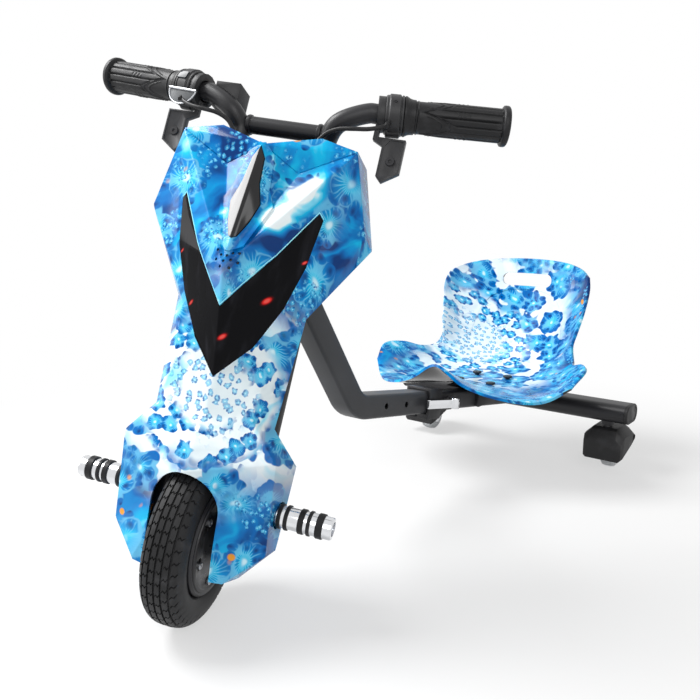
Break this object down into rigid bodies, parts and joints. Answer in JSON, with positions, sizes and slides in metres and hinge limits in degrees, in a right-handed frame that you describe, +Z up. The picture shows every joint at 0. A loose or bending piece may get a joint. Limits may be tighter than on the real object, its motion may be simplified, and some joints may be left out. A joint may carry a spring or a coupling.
{
  "type": "drift trike",
  "caption": "Child's three-wheeled drift trike with a steered fairing over the hub-motor wheel, a telescoping frame and a bucket seat over swivel casters.",
  "frame": {"origin": "centre of the bounding box at floor level, with the steering turned as in the picture", "axes": "+Z up, -Y towards the front wheel, +X towards the rider's left"},
  "size_m": [0.4722, 0.9312, 0.6471],
  "materials": {
    "print": "glossy film print in blue and white",
    "black_paint": "satin black powder coat",
    "grey_paint": "satin charcoal powder coat",
    "black_plastic": "satin black moulding",
    "smoked": "deep gloss smoked black",
    "grip_rubber": "soft black rubber",
    "tyre": "black solid tyre",
    "chrome": "bright chrome plate",
    "steel": "zinc plated steel",
    "wheel_plastic": "pale polyurethane",
    "electronics": "dark housing",
    "red_light": "red translucent moulding"
  },
  "bodies": {
    "frame": {"main_tube": "grey_paint", "head_tube": "grey_paint", "headset_cup_upper": "steel", "headset_cup_lower": "steel", "clamp_collar": "black_paint", "clamp_screw": "steel"},
    "clamp_lever": {"clamp_lever": "chrome"},
    "rear": {"rear_tube": "grey_paint", "axle_tube": "black_paint", "axle_cap_left": "black_plastic", "axle_cap_right": "black_plastic", "seat_bracket": "black_paint", "seat_shell": "print", "seat_bolt_1": "steel", "seat_bolt_2": "steel", "seat_bolt_3": "steel", "seat_bolt_4": "steel"},
    "caster_left": {"caster_fork_left": "chrome", "caster_axle_left": "chrome", "caster_hood_left": "black_plastic"},
    "caster_wheel_left": {"caster_wheel_left": "wheel_plastic"},
    "caster_right": {"caster_fork_right": "chrome", "caster_axle_right": "chrome", "caster_hood_right": "black_plastic"},
    "caster_wheel_right": {"caster_wheel_right": "wheel_plastic"},
    "fork": {"fork": "black_paint", "steerer": "steel", "front_axle": "steel", "axle_nut_left": "steel", "axle_nut_right": "steel", "peg_left": "chrome", "peg_right": "chrome", "handlebar": "black_paint", "grip_left": "grip_rubber", "grip_right": "grip_rubber", "brake_housing": "black_plastic", "throttle_housing": "black_plastic", "display_pod": "black_plastic", "brake_cable": "grip_rubber", "throttle_cable": "grip_rubber", "fairing_front": "print", "fairing_rear_upper": "print", "fairing_rear_lower": "print", "fairing_bracket": "black_paint", "lens": "smoked", "led_strip": "red_light", "scoop_insert": "smoked", "speaker": "electronics", "fender": "black_plastic", "battery": "electronics", "controller": "electronics"},
    "front_wheel": {"tyre": "tyre", "hub_motor": "black_paint", "side_disc_left": "black_plastic", "side_disc_right": "black_plastic"},
    "throttle_lever": {"throttle_lever": "black_plastic"},
    "brake_lever": {"brake_lever": "black_plastic"},
    "power_button": {"power_button": "red_light"}
  },
  "joints": [
    {"name": "steering", "type": "hinge", "parent": "frame", "child": "fork", "pos_m": [-0.00481, -0.37088, 0.10006], "axis": [0, 0.3551, 0.9348], "range_deg": [-66.3, 15.7]},
    {"name": "front_wheel_spin", "type": "hinge", "parent": "fork", "child": "front_wheel", "pos_m": [-0.00481, -0.37088, 0.10006], "axis": [0.9041, 0.3995, -0.1518], "continuous": true},
    {"name": "throttle", "type": "hinge", "parent": "fork", "child": "throttle_lever", "pos_m": [-0.08757, -0.26687, 0.5969], "axis": [0.9669, 0.1626, -0.1965], "range_deg": [0, 28], "stiffness_Nm_per_rad": 0.15, "springref_deg": -8.59},
    {"name": "brake", "type": "hinge", "parent": "fork", "child": "brake_lever", "pos_m": [0.10891, -0.18004, 0.56392], "axis": [0.7851, 0.6116, -0.0976], "range_deg": [0, 25], "stiffness_Nm_per_rad": 0.3, "springref_deg": -5.73},
    {"name": "power_press", "type": "slide", "parent": "fork", "child": "power_button", "axis": [0, -0.3551, -0.9348], "range_m": [0, 0.0015], "stiffness_N_per_m": 400, "springref_m": -0.001},
    {"name": "length_adjust", "type": "slide", "parent": "frame", "child": "rear", "axis": [0, 0.9863, -0.1647], "range_m": [-0.085, 0]},
    {"name": "clamp_swing", "type": "hinge", "parent": "frame", "child": "clamp_lever", "pos_m": [0.03049, 0.12903, 0.15277], "axis": [0, 0.1647, 0.9863], "range_deg": [0, 110]},
    {"name": "caster_swivel_left", "type": "hinge", "parent": "rear", "child": "caster_left", "pos_m": [0.18519, 0.39712, 0.06], "axis": [0, 0, 1], "continuous": true},
    {"name": "caster_roll_left", "type": "hinge", "parent": "caster_left", "child": "caster_wheel_left", "pos_m": [0.18519, 0.42112, 0.027], "axis": [1, 0, 0], "continuous": true},
    {"name": "caster_swivel_right", "type": "hinge", "parent": "rear", "child": "caster_right", "pos_m": [-0.19481, 0.39712, 0.06], "axis": [0, 0, 1], "continuous": true},
    {"name": "caster_roll_right", "type": "hinge", "parent": "caster_right", "child": "caster_wheel_right", "pos_m": [-0.19481, 0.42112, 0.027], "axis": [1, 0, 0], "continuous": true}
  ]
}
